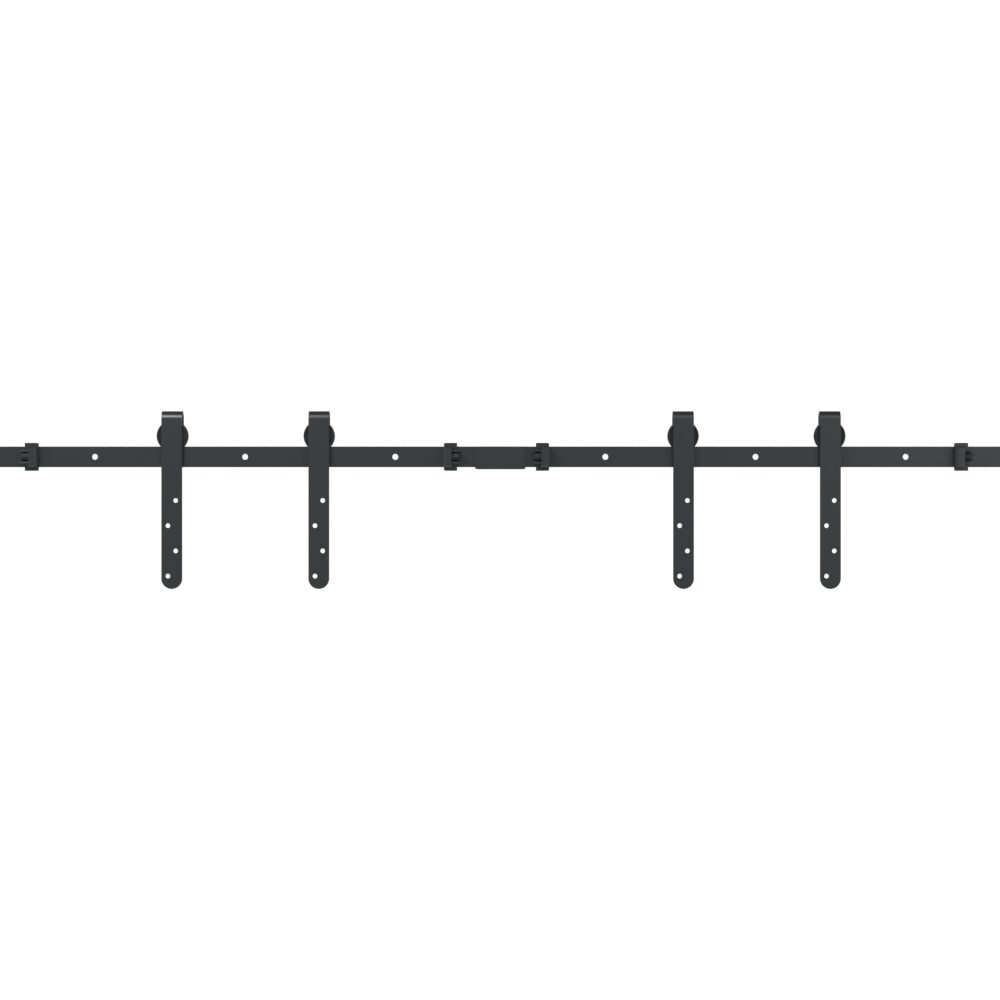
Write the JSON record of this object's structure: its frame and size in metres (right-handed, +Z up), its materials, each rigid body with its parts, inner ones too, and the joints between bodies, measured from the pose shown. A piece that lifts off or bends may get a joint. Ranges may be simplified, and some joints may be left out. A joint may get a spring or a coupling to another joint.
{
  "type": "sliding barn door hardware",
  "caption": "Flat-bar sliding door track with two joined rails, hook-shaped strap hangers on grooved ball-bearing wheels, clip-on stops with rubber buffers and a channel connector.",
  "frame": {"origin": "on the rail's back face at mid-height, midway between the two innermost wall holes, at the joint of the rails", "axes": "+X along the rail to the right as seen from the room, +Y towards the wall, +Z up"},
  "size_m": [1.98, 0.058, 0.3441],
  "materials": {
    "rail": "satin black powder coat",
    "strap": "satin black powder coat",
    "stop": "satin black powder coat",
    "axle_bolt": "satin black powder coat",
    "wheel": "satin moulded nylon",
    "buffer_rubber": "matt moulded rubber",
    "dark_fastener": "black zinc plated steel",
    "plated_steel": "turned and zinc plated steel",
    "bearing_steel": "ground bearing steel",
    "bearing_seal": "matt rubber"
  },
  "bodies": {
    "track": {"rail_left": "rail", "rail_right": "rail", "rail_connector": "rail", "connector_set_screws": "dark_fastener", "stop_set_screws": "dark_fastener", "stop_body_left_outer": "stop", "stop_body_left_inner": "stop", "stop_body_right_inner": "stop", "stop_body_right_outer": "stop", "stop_buffer_left_outer": "buffer_rubber", "stop_buffer_left_inner": "buffer_rubber", "stop_buffer_right_inner": "buffer_rubber", "stop_buffer_right_outer": "buffer_rubber", "stop_bolt_left_outer": "dark_fastener", "stop_bolt_left_inner": "dark_fastener", "stop_bolt_right_inner": "dark_fastener", "stop_bolt_right_outer": "dark_fastener"},
    "hanger_left_outer": {"strap_left_outer": "strap", "axle_bolt_left_outer": "axle_bolt", "axle_nut_left_outer": "dark_fastener", "axle_spacers_left_outer": "plated_steel", "inner_race_left_outer": "bearing_steel"},
    "hanger_left_inner": {"strap_left_inner": "strap", "axle_bolt_left_inner": "axle_bolt", "axle_nut_left_inner": "dark_fastener", "axle_spacers_left_inner": "plated_steel", "inner_race_left_inner": "bearing_steel"},
    "hanger_right_inner": {"strap_right_inner": "strap", "axle_bolt_right_inner": "axle_bolt", "axle_nut_right_inner": "dark_fastener", "axle_spacers_right_inner": "plated_steel", "inner_race_right_inner": "bearing_steel"},
    "hanger_right_outer": {"strap_right_outer": "strap", "axle_bolt_right_outer": "axle_bolt", "axle_nut_right_outer": "dark_fastener", "axle_spacers_right_outer": "plated_steel", "inner_race_right_outer": "bearing_steel"},
    "rolling_wheel_left_outer": {"wheel_left_outer": "wheel", "outer_race_left_outer": "bearing_steel", "bearing_balls_left_outer": "bearing_steel", "bearing_seals_left_outer": "bearing_seal", "retaining_ring_left_outer": "dark_fastener"},
    "rolling_wheel_left_inner": {"wheel_left_inner": "wheel", "outer_race_left_inner": "bearing_steel", "bearing_balls_left_inner": "bearing_steel", "bearing_seals_left_inner": "bearing_seal", "retaining_ring_left_inner": "dark_fastener"},
    "rolling_wheel_right_inner": {"wheel_right_inner": "wheel", "outer_race_right_inner": "bearing_steel", "bearing_balls_right_inner": "bearing_steel", "bearing_seals_right_inner": "bearing_seal", "retaining_ring_right_inner": "dark_fastener"},
    "rolling_wheel_right_outer": {"wheel_right_outer": "wheel", "outer_race_right_outer": "bearing_steel", "bearing_balls_right_outer": "bearing_steel", "bearing_seals_right_outer": "bearing_seal", "retaining_ring_right_outer": "dark_fastener"}
  },
  "joints": [
    {"name": "left_outer_slide", "type": "slide", "parent": "track", "child": "hanger_left_outer", "axis": [1, 0, 0], "range_m": [-0.232, 0.214]},
    {"name": "left_inner_slide", "type": "slide", "parent": "track", "child": "hanger_left_inner", "axis": [1, 0, 0], "range_m": [-0.232, 0.214]},
    {"name": "right_inner_slide", "type": "slide", "parent": "track", "child": "hanger_right_inner", "axis": [1, 0, 0], "range_m": [-0.232, 0.214]},
    {"name": "right_outer_slide", "type": "slide", "parent": "track", "child": "hanger_right_outer", "axis": [1, 0, 0], "range_m": [-0.232, 0.214]},
    {"name": "left_outer_wheel_spin", "type": "hinge", "parent": "hanger_left_outer", "child": "rolling_wheel_left_outer", "pos_m": [-0.635, -0.003, 0.0403], "axis": [0, 1, 0], "range_deg": [-670, 620]},
    {"name": "left_inner_wheel_spin", "type": "hinge", "parent": "hanger_left_inner", "child": "rolling_wheel_left_inner", "pos_m": [-0.3508, -0.003, 0.0403], "axis": [0, 1, 0], "range_deg": [-670, 620]},
    {"name": "right_inner_wheel_spin", "type": "hinge", "parent": "hanger_right_inner", "child": "rolling_wheel_right_inner", "pos_m": [0.3541, -0.003, 0.0403], "axis": [0, 1, 0], "range_deg": [-670, 620]},
    {"name": "right_outer_wheel_spin", "type": "hinge", "parent": "hanger_right_outer", "child": "rolling_wheel_right_outer", "pos_m": [0.638, -0.003, 0.0403], "axis": [0, 1, 0], "range_deg": [-670, 620]}
  ],
  "couplings": [
    {"joint": "left_inner_slide", "follows": "left_outer_slide", "ratio": 1},
    {"joint": "right_inner_slide", "follows": "right_outer_slide", "ratio": 1},
    {"joint": "left_outer_wheel_spin", "follows": "left_outer_slide", "rad_per_m": 50},
    {"joint": "left_inner_wheel_spin", "follows": "left_outer_slide", "rad_per_m": 50},
    {"joint": "right_inner_wheel_spin", "follows": "right_outer_slide", "rad_per_m": 50},
    {"joint": "right_outer_wheel_spin", "follows": "right_outer_slide", "rad_per_m": 50}
  ]
}
